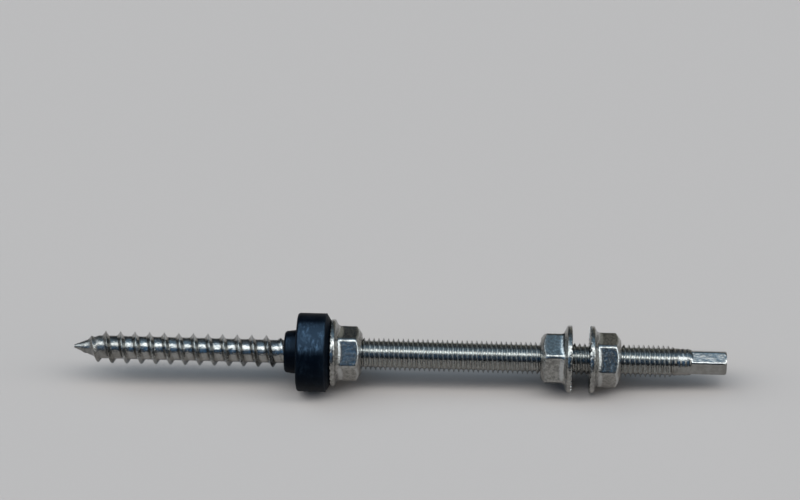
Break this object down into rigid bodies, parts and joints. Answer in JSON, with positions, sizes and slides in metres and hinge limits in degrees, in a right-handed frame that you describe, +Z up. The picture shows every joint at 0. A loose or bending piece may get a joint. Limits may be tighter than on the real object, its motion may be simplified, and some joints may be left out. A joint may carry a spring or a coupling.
{
  "type": "hanger bolt",
  "caption": "Double-ended hanger bolt with a wood thread, a machine thread, a hexagonal drive, a stepped rubber roof seal and serrated flange nuts that clamp a bracket.",
  "frame": {"origin": "on the bolt's axis, in the plane of the seal's roof face", "axes": "+X along the bolt from its point to its drive end, +Z up as it lies on a surface, +Y to the back"},
  "size_m": [0.2, 0.0244, 0.0244],
  "materials": {
    "stainless": "bright rolled stainless steel",
    "seal_rubber": "matte moulded black rubber"
  },
  "bodies": {
    "bolt": {"hanger_bolt": "stainless", "sealing_washer": "seal_rubber"},
    "seal_nut": {"seal_nut": "stainless"},
    "inner_nut": {"inner_clamp_nut": "stainless"},
    "outer_nut": {"outer_clamp_nut": "stainless"}
  },
  "joints": [
    {"name": "seal_nut_travel", "type": "slide", "parent": "bolt", "child": "seal_nut", "axis": [1, 0, 0], "range_m": [0, 0.027]},
    {"name": "inner_nut_travel", "type": "slide", "parent": "bolt", "child": "inner_nut", "axis": [1, 0, 0], "range_m": [-0.027, 0.0015]},
    {"name": "outer_nut_travel", "type": "slide", "parent": "bolt", "child": "outer_nut", "axis": [1, 0, 0], "range_m": [-0.0015, 0.015]}
  ]
}
